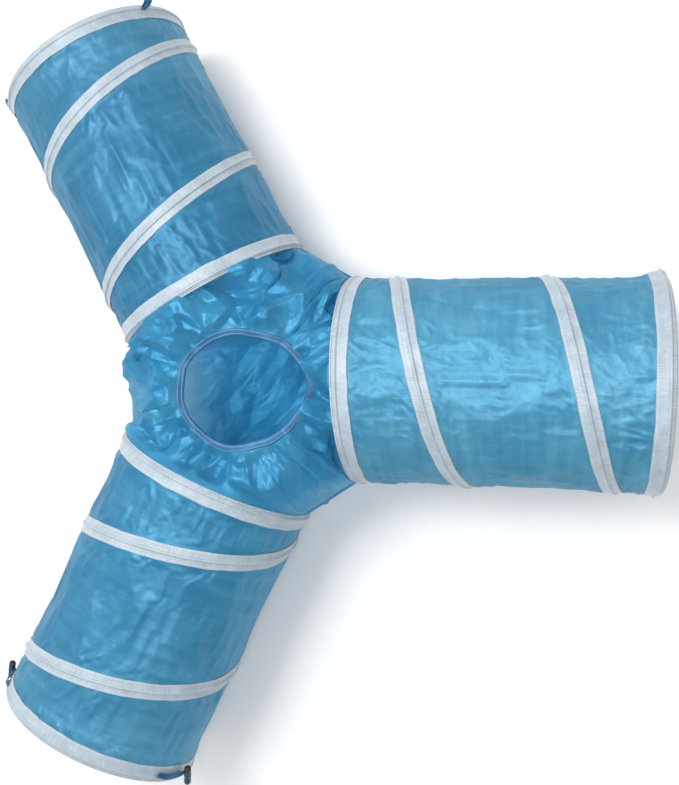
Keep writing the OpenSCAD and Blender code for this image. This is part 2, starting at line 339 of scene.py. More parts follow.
def drape(obj, pinned, slack, frames, gravity, collide=False):
    """Cloth simulation with a share of spare cloth, applied to the mesh. pinned is 0 to 1 for each vertex."""
    scene = bpy.context.scene
    group = obj.vertex_groups.new(name="pinned")
    levels = np.round(np.asarray(pinned) * PIN_LEVELS).astype(int)
    for level in range(1, PIN_LEVELS + 1):
        chosen = np.flatnonzero(levels == level)
        if len(chosen):
            group.add([int(k) for k in chosen], level / PIN_LEVELS, "REPLACE")
    modifier = obj.modifiers.new("Cloth", "CLOTH")
    s = modifier.settings
    s.quality = 6
    s.mass = 0.02
    s.tension_stiffness = s.compression_stiffness = CLOTH_STIFF
    s.shear_stiffness = CLOTH_STIFF / 3
    s.bending_stiffness = 0.05
    s.tension_damping = s.compression_damping = 3
    s.air_damping = 1.5
    s.vertex_group_mass = group.name
    s.pin_stiffness = 5
    s.shrink_min = -slack
    s.effector_weights.gravity = gravity
    modifier.collision_settings.use_collision = collide
    modifier.collision_settings.distance_min = 1 * MM
    modifier.collision_settings.use_self_collision = False
    scene.frame_start, scene.frame_end = 1, frames
    modifier.point_cache.frame_start, modifier.point_cache.frame_end = 1, frames
    for f in range(1, frames + 1):
        scene.frame_set(f)
    co = points_of(obj.evaluated_get(bpy.context.evaluated_depsgraph_get()).data)
    obj.modifiers.remove(modifier)
    obj.vertex_groups.remove(group)
    set_points(obj, co)
    scene.frame_set(1)
    return obj


# ---------------------------------------------------------------- materials
def rgb(r, g, b):
    """A colour given as 0 to 255 screen values, as the linear values that a shader takes."""
    return tuple(c / 255 / 12.92 if c <= 10 else ((c / 255 + 0.055) / 1.055) ** 2.4 for c in (r, g, b))


class Tree:
    """The shader nodes of a material or of the world."""

    def __init__(self, owner):
        owner.use_nodes = True
        self.owner, self.nodes, self.link = owner, owner.node_tree.nodes, owner.node_tree.links.new

    def add(self, kind, **settings):
        n = self.nodes.new("ShaderNode" + kind)
        for key, value in settings.items():
            if key in n.inputs:
                n.inputs[key].default_value = value
            else:
                setattr(n, key, value)
        return n

    def coords(self, source, scale=(1, 1, 1)):
        m = self.add("Mapping", Scale=scale)
        self.link(self.add("TexCoord").outputs[source], m.inputs["Vector"])
        return m.outputs["Vector"]

    def noise(self, vector, scale, detail=4.0, rough=0.55, distortion=0.0):
        n = self.add("TexNoise", Scale=scale, Detail=detail, Roughness=rough, Distortion=distortion)
        self.link(vector, n.inputs["Vector"])
        return n.outputs["Fac"]

    def mix(self, share, first, second):
        """Two values mixed, with this share of the second."""
        m = self.add("Mix", data_type="FLOAT")
        m.inputs["Factor"].default_value = share
        self.link(first, m.inputs["A"])
        self.link(second, m.inputs["B"])
        return m.outputs["Result"]

    def ramp(self, value, stops):
        r = self.add("ValToRGB")
        while len(r.color_ramp.elements) < len(stops):
            r.color_ramp.elements.new(0.5)
        for element, (position, color) in zip(r.color_ramp.elements, stops):
            element.position = position
            element.color = (*color, 1)
        self.link(value, r.inputs["Fac"])
        return r.outputs["Color"]

    def bump(self, height, distance, strength=1.0, normal=None):
        b = self.add("Bump", Strength=strength, Distance=distance)
        self.link(height, b.inputs["Height"])
        if normal is not None:
            self.link(normal, b.inputs["Normal"])
        return b.outputs["Normal"]

    def weave(self, pitch):
        """Crossed threads, from the UV map in metres."""
        both = self.add("Math", operation="ADD")
        for k, direction in enumerate("XY"):
            w = self.add("TexWave", Scale=1 / pitch / 20, Distortion=0.6, Detail=1.0)
            w.bands_direction = direction
            self.link(self.coords("UV"), w.inputs["Vector"])
            self.link(w.outputs["Fac"], both.inputs[k])
        return both.outputs[0]


def shader(name, **inputs):
    """A new material's nodes, and the inputs of its main shader."""
    tree = Tree(bpy.data.materials.new(name))
    b = tree.nodes["Principled BSDF"]
    for key, value in inputs.items():
        b.inputs[key.replace("_", " ")].default_value = value
    return tree, b


def shades(color, vary):
    """A colour made darker and lighter by a share."""
    return tuple(c * (1 - vary) for c in color), tuple(min(1, c * (1 + vary)) for c in color)


def taffeta(name, dark, mid, light, rough, crinkle, streaks=1.0, through=0.3, satin=0.4):
    """Thin coated polyester: a fine weave, lengthwise sheen streaks painted into its colour as lighter and darker bands
    and also varying its roughness, small creases, and some light comes through.
    """
    tree, b = shader(name, Specular_IOR_Level=0.7, Sheen_Weight=0.15, Sheen_Roughness=0.35, Metallic=satin)
    b.inputs["Sheen Tint"].default_value = (*light, 1)
    # Painted sheen: the lengthwise streak noise lightens and darkens the base colour in bands along the cloth, mixed
    # with a cloudy tone that is the cloth's own.
    streak = tree.noise(tree.coords("UV", (1.0, 0.12, 1.0)), 90, 3)
    cloud = tree.noise(tree.coords("Object"), 14, 5, 0.6)
    tone_and_sheen = tree.mix(0.45 * streaks, cloud, streak)
    tree.link(tree.ramp(tone_and_sheen, [(0.30, dark), (0.5, mid), (0.72, light)]), b.inputs["Base Color"])
    behind = tree.add("BsdfTranslucent")
    tree.link(tree.ramp(tone_and_sheen, [(0.3, rgb(140, 215, 240)), (0.7, rgb(190, 235, 250))]), behind.inputs["Color"])
    both = tree.add("MixShader")
    both.inputs[0].default_value = through
    tree.link(b.outputs[0], both.inputs[1])
    tree.link(behind.outputs[0], both.inputs[2])
    tree.link(both.outputs[0], tree.nodes["Material Output"].inputs["Surface"])
    tree.link(tree.ramp(streak, [(0.3, (rough - 0.06,) * 3), (0.7, (rough + 0.08,) * 3)]), b.inputs["Roughness"])
    normal = tree.bump(tree.weave(0.45 * MM), 0.04 * MM)
    normal = tree.bump(tree.noise(tree.coords("Object"), 330, 4, 0.65, 0.6), 0.6 * MM * crinkle, 0.8, normal)
    normal = tree.bump(tree.noise(tree.coords("Object"), 60, 2), 1.4 * MM * crinkle, 0.5, normal)
    tree.link(normal, b.inputs["Normal"])
    return tree.owner


def tape_material(name, base):
    """Woven tape: fine threads over a cloudy white, with ribs across it."""
    tree, b = shader(name, Roughness=0.42, Sheen_Weight=0.25, Sheen_Roughness=0.4, Specular_IOR_Level=0.45)
    ribs = tree.noise(tree.coords("UV", (1.0, 0.25, 1.0)), 420, 3)
    cloud = tree.noise(tree.coords("Object"), 45, 4)
    dark, light = shades(base, 0.18)
    shade = tree.ramp(tree.mix(0.5, ribs, cloud), [(0.34, dark), (0.5, base), (0.66, light)])
    tree.link(shade, b.inputs["Base Color"])
    normal = tree.bump(tree.weave(0.5 * MM), 0.06 * MM)
    tree.link(tree.bump(ribs, 0.25 * MM, 0.7, normal), b.inputs["Normal"])
    return tree.owner


def plain(name, color, rough, metal=0.0, scale=400, depth=0.05, vary=0.2):
    """One colour that varies a little. depth is the height of its grain in millimetres."""
    tree, b = shader(name, Metallic=metal, Roughness=rough)
    grain = tree.noise(tree.coords("Object"), scale, 4)
    dark, light = shades(color, vary)
    tree.link(tree.ramp(grain, [(0.3, dark), (0.7, light)]), b.inputs["Base Color"])
    tree.link(tree.bump(grain, depth * MM, 0.8), b.inputs["Normal"])
    return tree.owner


# The three arms are one cloth, each with its own base blue: arm A's lighter blue is partly the white film inside it
# showing through and partly painted light where it faces the lamps.
SLEEVE_BLUE = {
    "a": taffeta("sleeve_a_cloth", rgb(54, 134, 170), rgb(76, 156, 190), rgb(108, 182, 212), 0.46, 1.0, satin=0.3),
    "b": taffeta("sleeve_b_cloth", rgb(20, 104, 142), rgb(34, 120, 160), rgb(70, 150, 188), 0.42, 0.6, satin=0.36),
    "c": taffeta("sleeve_c_cloth", rgb(24, 112, 152), rgb(40, 130, 170), rgb(76, 158, 196), 0.42, 0.6, satin=0.36),
}
HUB_BLUE = taffeta("hub_cloth", rgb(24, 120, 166), rgb(40, 140, 186), rgb(70, 166, 206), 0.43, 0.6,
                   streaks=0.2, through=0.34, satin=0.38)
# The same cloth as the roof in a lighter copy: painted light that brightens the floor, which lies in shade inside the
# hub.
HUB_FLOOR_PAINTED_LIGHT_BLUE = taffeta("hub_floor_cloth", rgb(26, 146, 196), rgb(40, 168, 220), rgb(72, 192, 238), 0.44, 0.6,
                         streaks=0.2, through=0.40, satin=0.42)
HEM_BLUE = taffeta("hem_cloth", rgb(8, 80, 126), rgb(16, 98, 146), rgb(36, 124, 172), 0.5, 0.4, streaks=0.3, satin=0.2)
BLUE_THREAD = plain("blue_thread", rgb(16, 70, 120), 0.5, scale=900)
TAPE_WHITE = tape_material("white_tape", rgb(166, 180, 190))
THREAD = plain("white_thread", rgb(235, 238, 242), 0.6, scale=900)
STEEL = plain("spring_wire", rgb(165, 168, 172), 0.28, 1.0, 700, 0.02)
FILM = plain("crackle_film", rgb(150, 190, 208), 0.3, scale=60, depth=0.2, vary=0.12)
BLACK = plain("toggle_black", rgb(26, 26, 28), 0.42, scale=600, depth=0.06)
WEBBING = taffeta("webbing", rgb(20, 80, 128), rgb(34, 106, 158), rgb(64, 146, 194), 0.5, 0.3)


# ---------------------------------------------------------------- arms
def tape_profile(half_low, half_high, ridge_w=2.4 * MM, ridge_h=3.4 * MM, flange_h=0.95 * MM):
    """A hat-shaped tape in section: across the tape and up from the cloth, as one closed outline."""
    low = 0.3 * MM
    outer = [(-half_low, low), (-half_low + 0.25 * MM, flange_h * 0.8), (-half_low + 1.0 * MM, flange_h)]
    outer += [(x, flange_h) for x in np.linspace(-half_low + 2.4 * MM, -ridge_w - 1.6 * MM, 3)]
    outer += [(-ridge_w - 0.5 * MM, flange_h + 0.2 * MM)]
    for k in range(7):
        a = math.pi * (1 - k / 6)
        rise = (ridge_h - flange_h - 0.25 * MM) * math.sin(a) ** 0.7
        outer.append((ridge_w * math.cos(a) * 0.8, flange_h + 0.25 * MM + rise))
    outer += [(ridge_w + 0.5 * MM, flange_h + 0.2 * MM)]
    outer += [(x, flange_h) for x in np.linspace(ridge_w + 1.6 * MM, half_high - 2.4 * MM, 3)]
    outer += [(half_high - 1.0 * MM, flange_h), (half_high - 0.25 * MM, flange_h * 0.8), (half_high, low)]
    inner = [(1.9 * MM, low + 0.05 * MM), (1.2 * MM, ridge_h - 0.6 * MM)]
    return np.array(outer + inner + [(-x, z) for x, z in inner[::-1]])


def tape_pucker(along, across, seed):
    """The small waves that the stitching draws into a tape, stronger towards its edges."""
    rng = np.random.default_rng(seed)
    edge = np.clip(np.abs(across) / TAPE_HALF, 0, 1.3)
    waves = noise(along / (5 * MM), across / (12 * MM) + 40, rng, 512, 64)
    slow = noise(along / (22 * MM), across / (30 * MM) + 40, rng, 512, 64)
    return 0.42 * MM * waves * edge ** 1.5 + 0.35 * MM * slow


def add_stitches(obj, place, length, rows, side_h, pitch=3.4 * MM, long=2.5 * MM, half=0.28 * MM):
    """Rows of small raised stitches joined to a tape's mesh. place(along, across, height) gives a point.

    half is half a stitch's width, in the unit of the rows.
    """
    verts, faces = [], []
    for row in rows:
        for k in range(int(length / pitch)):
            a = (k + 0.5) * pitch
            around = [(a - long / 2, row, side_h - 0.1 * MM), (a + long / 2, row, side_h - 0.1 * MM)]
            around += [(a, row + half, side_h), (a, row, side_h + 0.32 * MM), (a, row - half, side_h)]
            n = len(verts)
            verts += around
            faces += [(n, n + 3, n + 2), (n, n + 4, n + 3), (n + 1, n + 2, n + 3), (n + 1, n + 3, n + 4)]
    extra = make_object("stitches", place(*np.array(verts).T), faces)
    extra.data.polygons.foreach_set("material_index", [1] * len(faces))
    with bpy.context.temp_override(active_object=obj, selected_editable_objects=[obj, extra]):
        bpy.ops.object.join()
    return obj


def sleeve_creases(arm, s, phi):
    """How far small creases lift an arm's cloth: they start at the sewn wires, and arm A is crinkled all over."""
    rng = np.random.default_rng(SEED[arm.name] + 100)
    flat = np.column_stack([s.ravel(), (phi.ravel() % (2 * math.pi)) * CLOTH_R])
    girth = 2 * math.pi * CLOTH_R
    crackled = arm.name == "a"
    total = np.zeros(len(flat))
    for count, long, high, wide, sewn in CREASES[crackled]:
        at_phi = rng.uniform(0, 2 * math.pi, count)
        line = rng.integers(0, 4, count)
        at_s = wire_lines(at_phi)[line, np.arange(count)] if sewn else rng.uniform(0, ARM_L, count)
        outward = np.where(line == 0, 1, np.where(line == 3, -1, rng.choice([-1, 1], count)))
        start_s = at_s + outward * TAPE_HALF * 0.9 if sewn else at_s
        turn = rng.uniform(-1.4, 1.4, count) if crackled and not sewn else rng.normal(0, 0.55 if sewn else 0.25, count)
        length = rng.uniform(*long, count)
        starts = np.column_stack([start_s, at_phi * CLOTH_R])
        ends = starts + (outward * length)[:, None] * np.column_stack([np.cos(turn), np.sin(turn)])
        heights = rng.uniform(*high, count)
        widths = rng.uniform(*wide, (count, 2))
        bends = rng.normal(0, 0.06, count)
        layer = np.zeros(len(flat))
        for shift in (-girth, 0, girth):
            move = np.array([0, shift])
            near = (starts[:, 1] + shift > -0.06) & (starts[:, 1] + shift < girth + 0.06)
            lines = starts[near] + move, ends[near] + move
            layer = np.maximum(layer, tents(flat, *lines, heights[near], widths[near], bends[near]))
        total += layer
    return total.reshape(s.shape)


def make_sleeve(arm):
    """The cloth of an arm: it hangs a little slack between the lines where it is sewn over the wire."""
    columns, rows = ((200, 92))
    phi = circle(columns)
    s = np.linspace(-TUBE_END, ARM_L + TUBE_END + 1.5 * MM, rows)
    grid_s, grid_phi = cross(s, phi)

    def looseness(at_s, at_phi, reach):
        lines = wire_lines(at_phi.ravel()).reshape(-1, *at_s.shape)
        away = np.min(np.abs(at_s[None] - lines), 0)
        above = np.min(np.where(lines >= at_s, lines, 9), 0)
        below = np.max(np.where(lines <= at_s, lines, -9), 0)
        gap = np.where((above < 9) & (below > -9), above - below, 0.01)
        share = np.clip((at_s - below) / np.maximum(gap, 1e-6), 0, 1)
        from_hoop = np.minimum(np.abs(at_s), np.abs(ARM_L - at_s))
        return smooth((away - TAPE_HALF) / reach) * smooth((from_hoop - HOOP_TAPE_FAR) / reach), gap, share

    loose, gap, share = looseness(grid_s, grid_phi, 10 * MM)
    rng = np.random.default_rng(SEED[arm.name])
    dip = np.minimum(gap * 0.01, 0.8 * MM) * np.sin(math.pi * share) ** 1.2
    folds = noise(grid_phi / (2 * math.pi) * 96, grid_s / (40 * MM), rng, 96, 64)
    r = CLOTH_R - dip + loose * 1.0 * MM * folds
    obj = make_grid(f"sleeve_{arm.name}", arm.place(grid_s, grid_phi, r), s, np.zeros(columns + 1), closed_v=True)
    drape(obj, 1 - loose.ravel(), 0.003, 10, 0.02)
    points = finer(points_of(obj.data).reshape(rows, columns, 3))
    bpy.data.objects.remove(obj)
    fine_s = np.linspace(s[0], s[-1], points.shape[0])
    grid_s, grid_phi = cross(fine_s, circle(points.shape[1]))
    loose, _, _ = looseness(grid_s, grid_phi, 3 * MM)
    lift = loose * (sleeve_creases(arm, grid_s, grid_phi) - 0.4 * MM)
    radial = np.cos(grid_phi)[..., None] * np.array([0, 0, 1.0]) + np.sin(grid_phi)[..., None] * arm.right
    v = HOOP_R * circle(points.shape[1], True)
    points = points + radial * lift[..., None]
    return make_grid(f"sleeve_{arm.name}", points, fine_s, v, closed_v=True, material=SLEEVE_BLUE[arm.name])


def make_hoop(arm, name, s):
    """A ring of wire at a distance along an arm."""
    p, a = cross(circle(180), circle(8))
    points = arm.place(s + WIRE / 2 * np.sin(a), p, HOOP_R + WIRE / 2 * np.cos(a))
    return face_out(make_grid(name, points, np.zeros(181), np.zeros(9), True, True, STEEL))


def make_coil(arm):
    """The spring wire that runs from the inner hoop to the outer one."""
    t, a = cross(np.linspace(0, 360 * TURNS, 480), circle(8))
    points = arm.place(coil_s(t) + WIRE / 2 * np.sin(a), np.radians(180 + t), HOOP_R + WIRE / 2 * np.cos(a))
    return face_out(make_grid(f"coil_{arm.name}", points, np.zeros(480), np.zeros(9), False, True, STEEL, caps=True))


def make_coil_tape(arm):
    """The tape sewn over the coil, a little short of both hoops."""
    profile = tape_profile(TAPE_HALF, TAPE_HALF)
    length = 2 * math.pi * HOOP_R * TURNS
    t = np.linspace(9, 360 * TURNS - 9, 620)
    along = t / 360 / TURNS * length

    def place(a, w, h):
        deg = a / length * 360 * TURNS
        s = np.clip(coil_s(deg) + w, 0.2 * MM, ARM_L - 0.2 * MM)
        return arm.place(s, np.radians(180 + deg), CLOTH_R + h)

    a, w = cross(along, profile[:, 0])
    h = np.broadcast_to(profile[:, 1], a.shape)
    outer = np.arange(len(profile)) < len(profile) - 4
    h = np.where(outer, np.maximum(h + tape_pucker(a, w, SEED[arm.name] + 1), 0.12 * MM), h)
    edge = 0.5 * MM * noise(a / (16 * MM), np.sign(w) * 5 + 20, np.random.default_rng(SEED[arm.name] + 5), 256, 64)
    w = w + edge * np.clip(np.abs(w) / TAPE_HALF, 0, 1) ** 3
    v = np.concatenate([profile[:, 0], profile[:1, 0]])
    obj = make_grid(f"coil_tape_{arm.name}", place(a, w, h), along, v, False, True, [TAPE_WHITE, THREAD], caps=True)
    face_out(obj)
    rows = (-8.4 * MM, 8.4 * MM)
    return add_stitches(obj, lambda x, y, z: place(x + along[0], y, z), along[-1] - along[0], rows, 1.15 * MM)


def make_hoop_tape(arm, name, s0, direction, rim):
    """The tape over a hoop. direction points from the hoop to the middle of the arm."""
    far, near = HOOP_TAPE_FAR, (5.2 * MM if rim else 6.0 * MM)
    profile = tape_profile(near, far)
    if rim:
        # The near edge turns over the rim and a little way down inside the mouth.
        lip = [(-near - 0.9 * MM, 0.2 * MM), (-near - 1.0 * MM, -1.2 * MM), (-near - 0.3 * MM, -2.4 * MM),
               (-near + 4 * MM, -2.5 * MM)]
        inner = [(-near + 4 * MM, -2.0 * MM), (-near, -1.9 * MM), (-near - 0.4 * MM, -1.1 * MM)]
        profile = np.concatenate([np.array(inner), np.array(lip[::-1]), profile[1:]])
    length = 2 * math.pi * HOOP_R
    along = np.linspace(0, length, 330, endpoint=False)
    a, w = cross(along, profile[:, 0])
    outer = profile[:, 1] > 0.25 * MM
    rng_seed = SEED[arm.name] + (7 if rim else 9)
    h = np.broadcast_to(profile[:, 1], a.shape)
    h = np.where(outer, np.maximum(h + 0.8 * tape_pucker(a, w, rng_seed), 0.12 * MM), h)
    edge = 0.6 * MM * noise(a / (17 * MM), np.sign(w) * 5 + 20, np.random.default_rng(rng_seed), 46, 64)
    w = w + edge * np.clip(w / far, 0, 1) ** 3

    def place(x, y, z):
        return arm.place(s0 + direction * y, math.pi + x / HOOP_R, CLOTH_R + z)

    u = np.append(along, length)
    v = np.concatenate([profile[:, 0], profile[:1, 0]])
    obj = make_grid(name, place(a, w, h), u, v, True, True, [TAPE_WHITE, THREAD])
    face_out(obj)
    return add_stitches(obj, place, length, (-near + 1.5 * MM, far - 1.8 * MM), 1.15 * MM)


def make_crimp(arm, name, s0, direction):
    """The pressed sleeve round the hoop and the coil's end."""
    p, a = cross(np.radians(180 + direction * np.linspace(-8.5, -1.5, 12)), circle(20))
    wide, high = WIRE + 0.5 * MM, WIRE / 2 + 0.5 * MM
    across, up = (np.sign(x) * np.abs(x) ** 0.6 for x in (np.sin(a), np.cos(a)))
    points = arm.place(s0 + direction * WIRE / 2 + wide * across, p, HOOP_R + high * up)
    return face_out(make_grid(name, points, np.zeros(12), np.zeros(21), False, True, STEEL, caps=True))


def make_film(arm):
    """Crackle film inside an arm: a crumpled, faceted skin."""
    rows, columns = 90, 240
    s = np.linspace(8 * MM, ARM_L - 8 * MM, rows)
    phi = circle(columns)
    grid_s, grid_phi = cross(s, phi)
    rng = np.random.default_rng(5)
    facets = np.abs(noise(grid_phi * 14 / (2 * math.pi) * 5, grid_s / (11 * MM), rng, 70, 64))
    small = noise(grid_phi / (2 * math.pi) * 150, grid_s / (5 * MM), rng, 150, 80)
    r = CLOTH_R - 9.5 * MM + 1.4 * MM * facets + 0.4 * MM * small
    v = HOOP_R * circle(columns, True)
    return make_grid("crackle_film_a", arm.place(grid_s, grid_phi, r), s, v, False, True, FILM)


def stands_in(obj, slot, body, *nodes):
    """Hides the CAD nodes that a piece replaces and hangs it from the body that carries it. slot, what it is made of,
    is not used.
    """
    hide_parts(*nodes)
    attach(obj, body)


def build_arm(arm):
    """All the pieces of an arm."""
    name = arm.name
    mouth = arm.joint["child"]
    soft = [(make_sleeve(arm), "fabric_tube", "blue_fabric"), (make_coil(arm), "coil_spring", "spring_steel"),
            (make_coil_tape(arm), "coil_tape", "white_tape")]
    if name == "a":
        soft.append((make_film(arm), "crackle_film", "crackle_film"))
    for obj, stands_for, material_slot in soft:
        stands_in(obj, material_slot, "hub", f"arm_{name}_{stands_for}")
        tuple(arm.out)
        tuple(arm.start)
        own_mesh(obj)
    for where, s0, direction, body in (("inner", 0.0, 1, "hub"), ("outer", ARM_L, -1, mouth)):
        rim = where == "outer"
        made = [(make_hoop(arm, f"{where}_hoop_{name}", s0), "hoop", "spring_steel"),
                (make_hoop_tape(arm, f"{where}_hoop_tape_{name}", s0, direction, rim), "hoop_tape", "white_tape"),
                (make_crimp(arm, f"{where}_crimp_{name}", s0, direction), "crimp", "spring_steel")]
        for obj, stands_for, material_slot in made:
            stands_in(obj, material_slot, body, f"arm_{name}_{where}_{stands_for}")


# ---------------------------------------------------------------- hub
HUB_COLUMNS = 384
HUB_EDGE = -7.5 * MM  # the rims of the hub's cloth, from the inner hoops
ROOF_FROM = 0.45 * AXIS_Z  # cloth above this is roof, and below it floor
FLOOR_R = 0.085  # the flat middle of the floor
FLOOR_Z = 0.8 * MM
HUB_SEED = 3
HUB_SLACK = 0.0
HUB_FRAMES = 8
HUB_GRAVITY = 0.15
# The hub's crumpled cloth: the spacing of the creases and how steep their sides are.
HUB_CRUMPLE = [(0.066, 0.82), (0.035, 0.70), (0.017, 0.30)]
# Where the creases of the hub run together: x, y and how far round each point.
HUB_KNOTS = [(HOLE.x, HOLE.y, 0.2), (0.02, 0.1, 0.055), (0.08, -0.02, 0.03), (-0.07, -0.05, 0.03)]
# The floor's creases all run across the hub, away from a point far off it.
FLOOR_KNOTS = [(0.4, 0.35, 2.0)]


def hub_loop(columns, height_sign, s):
    """The hub's outer loop, past three rims and three side seams, at s from the hoops.

    Gives the points, 1 for each on a rim, and how soon the cloth inward of each leaves the loop's height.
    """
    per_arm = columns // 3
    seam = per_arm // 7
    points, on_rim, slack = [], [], []
    order = list(arms.values())
    for k, arm in enumerate(order):
        n = per_arm - seam
        phi = np.linspace(math.pi / 2, -math.pi / 2, n)
        if height_sign < 0:
            phi = math.pi - phi
        points.append(arm.place(s, phi, CLOTH_R - 0.2 * MM))
        on_rim.append(np.ones(n))
        slack.append(np.sin(phi) ** 2)
        ahead = order[(k + 1) % 3]
        from_point = arm.place(s, -math.pi / 2, CLOTH_R - 0.2 * MM)
        to_point = ahead.place(s, math.pi / 2, CLOTH_R - 0.2 * MM)
        share = np.linspace(0, 1, seam + 2)[1:-1, None]
        points.append(from_point * (1 - share) + to_point * share)
        on_rim.append(np.zeros(seam))
        slack.append(np.ones(seam))
    return np.concatenate(points), np.concatenate(on_rim), np.concatenate(slack)


def hub_rows(side, columns):
    """Rings of points from the outer loop in to the peephole's edge, or to the middle of the floor."""
    outer, on_rim, slack = hub_loop(columns, side, HUB_EDGE)
    centre = np.array([HOLE.x, HOLE.y]) if side > 0 else np.zeros(2)
    patch_r, patch_z = (HOLE_R, HOLE.z) if side > 0 else (FLOOR_R, FLOOR_Z)
    d = outer[:, :2] - centre
    turn = np.arctan2(d[:, 1], d[:, 0])
    if side > 0:
        # The hole is pulled long along arm A, to a blunt point.
        stretch = 1 + 0.115 * np.cos(turn) ** 2 - 0.02 * np.sin(turn) ** 2 + 0.045 * np.exp(-((turn / 0.3) ** 2))
        ragged = 0.025 * np.sin(3 * turn + 1) + 0.014 * np.sin(7 * turn + 2) + 0.008 * np.sin(16 * turn)
        patch_r = patch_r * (stretch + ragged)[:, None]
    inner = centre + d / np.linalg.norm(d, axis=1)[:, None] * patch_r
    rings = [hub_loop(columns, side, s)[0] for s in (-2.5 * MM, -5 * MM)]
    count = columns // 9
    steps = np.linspace(math.pi / 2, 0, count + 1)
    for psi in steps:
        plan = inner + (outer[:, :2] - inner) * math.sin(psi)
        z = outer[:, 2] + (patch_z - outer[:, 2]) * math.cos(psi) ** (2 - slack)
        rings.append(np.column_stack([plan, z]))
    if side < 0:
        radius = patch_r
        direction = d / np.linalg.norm(d, axis=1)[:, None]
        while radius > 5 * MM:
            radius -= 3.6 * MM
            rings.append(np.column_stack([centre + direction * max(radius, 2.5 * MM), np.full(columns, patch_z)]))
    return rings, on_rim


def hub_mesh(columns):
    """The hub's roof and floor before they are draped: the points, the faces and how firmly each point is held.

    The rings thin out as they get shorter. The rings of points nearest the peephole come last, outermost first.
    """
    verts, faces, pinned, near_hole = [], [], [], []
    outer_index = None
    for side in (1, -1):
        rings, on_rim = hub_rows(side, columns)
        step = 1
        previous = None
        for k, ring in enumerate(rings):
            around = np.linalg.norm(np.diff(ring, axis=0, append=ring[:1]), axis=1).sum()
            count = columns // step
            close = around / count < 2.6 * MM * (HUB_COLUMNS / columns)
            halve = previous is not None and close and count % 2 == 0 and count > 12
            if halve:
                step *= 2
            chosen = np.arange(0, columns, step)
            pts = ring[chosen]
            if k == 0 and side < 0:
                # The floor panel shares its seam points with the roof panel.
                index = np.empty(len(chosen), int)
                ends = np.abs(pts[:, 2] - AXIS_Z) < 1e-5
                for i in range(len(chosen)):
                    if on_rim[i] < 0.5 or ends[i]:
                        index[i] = outer_index[i]
                    else:
                        index[i] = len(verts)
                        verts.append(pts[i])
                        pinned.append(1.0)
            else:
                index = np.arange(len(verts), len(verts) + len(chosen))
                verts += list(pts)
                pinned += list(on_rim[chosen] * (k <= 2))
            if k == 0 and side > 0:
                outer_index = index
            if previous is not None:
                n = len(index)
                for i in range(n):
                    j = (i + 1) % n
                    if halve:
                        a, b, c = previous[2 * i], previous[2 * i + 1], previous[(2 * i + 2) % (2 * n)]
                        new = [(a, b, index[i]), (b, index[j], index[i]), (b, c, index[j])]
                    else:
                        new = [(previous[i], previous[j], index[j], index[i])]
                    faces += [tuple(int(x) for x in (f if side > 0 else f[::-1])) for f in new]
            previous = index
            if side > 0:
                near_hole = [r for r in near_hole if len(r) == len(index)][-6:] + [index]
        if side < 0:
            faces.append(tuple(int(x) for x in previous[::-1]))
    return np.array(verts), faces, pinned, near_hole


def make_hub():
    """The hub's cloth, roof and floor in one mesh, and the rings of its points nearest the peephole, from the edge."""
    verts, faces, pinned, near_hole = hub_mesh(HUB_COLUMNS)
    uvs = np.concatenate([verts[list(f)][:, :2] for f in faces])
    obj = make_object("hub_cloth", verts, faces, uvs, HUB_BLUE)
    ground = make_object("ground", [(-1, -1, 0), (1, -1, 0), (1, 1, 0), (-1, 1, 0)], [(0, 1, 2, 3)])
    ground.modifiers.new("Collision", "COLLISION")
    ground.collision.thickness_outer = 0.5 * MM
    drape(obj, pinned, HUB_SLACK, HUB_FRAMES, HUB_GRAVITY, collide=True)
    bpy.data.objects.remove(ground)
    obj.modifiers.new("Subdivision", "SUBSURF").levels = 2
    fine = bpy.data.meshes.new_from_object(obj.evaluated_get(bpy.context.evaluated_depsgraph_get()))
    obj.modifiers.clear()
    obj.data = fine
    # Faces low in the hub take the lighter copy of the cloth, painted light for the shaded floor.
    fine.materials.append(HUB_FLOOR_PAINTED_LIGHT_BLUE)
    for face in fine.polygons:
        face.material_index = int(face.center.z < 0.3 * AXIS_Z)
    verts, out = points_of(fine), points_of(fine, "normal")
    from_rim = np.min([np.abs(arm.start @ arm.out - verts @ arm.out) for arm in arms.values()], 0)
    held = smooth((from_rim - 6 * MM) / (12 * MM)) * smooth((np.abs(verts[:, 2] - AXIS_Z) - 12 * MM) / (48 * MM))
    out[verts[:, 2] < ROOF_FROM] = (0, 0, 1)
    # The cloth next to a hoop stays down, so that no fold stands over the hoop's tape.
    folds = hub_folds(verts, held)
    folds *= np.where(folds > 0, smooth((from_rim - 7 * MM) / (26 * MM)), 1)
    verts = verts + out * folds[:, None]
    verts[:, 2] = np.maximum(verts[:, 2], FLOOR_Z)
    set_points(obj, verts)
    return obj, near_hole[::-1]


def hub_folds(verts, held):
    """How far the crumpled cloth of the hub lies off its even shape."""
    rng = np.random.default_rng(HUB_SEED)
    plan = verts[:, :2]
    hole = np.array([HOLE.x, HOLE.y])
    off_hole = np.linalg.norm(plan - hole, axis=1) - HOLE_R
    total = np.zeros(len(verts))
    for roof in (True, False):
        here = (verts[:, 2] > ROOF_FROM) == roof
        warp = np.column_stack([noise(*(plan[here].T / 0.03 + 30), rng), noise(*(plan[here].T / 0.03 + 30), rng)])
        for spacing, slope in HUB_CRUMPLE:
            up = crumpled(plan[here] + 2 * MM * warp, rng, spacing, slope, HUB_KNOTS if roof else FLOOR_KNOTS)
            total[here] += up - up.mean() if roof else 0.35 * (up - up.min())
        if roof:
            near_hole = 1 - smooth((off_hole[here] - 8 * MM) / (45 * MM))
            total[here] += spokes(plan[here], rng, 2, (9, 15), 0.6, hole) * near_hole
    calm = 0.25 + 0.75 * smooth((np.abs(off_hole) - 5 * MM) / (14 * MM))
    return held * np.where(verts[:, 2] > ROOF_FROM, calm, 1) * total


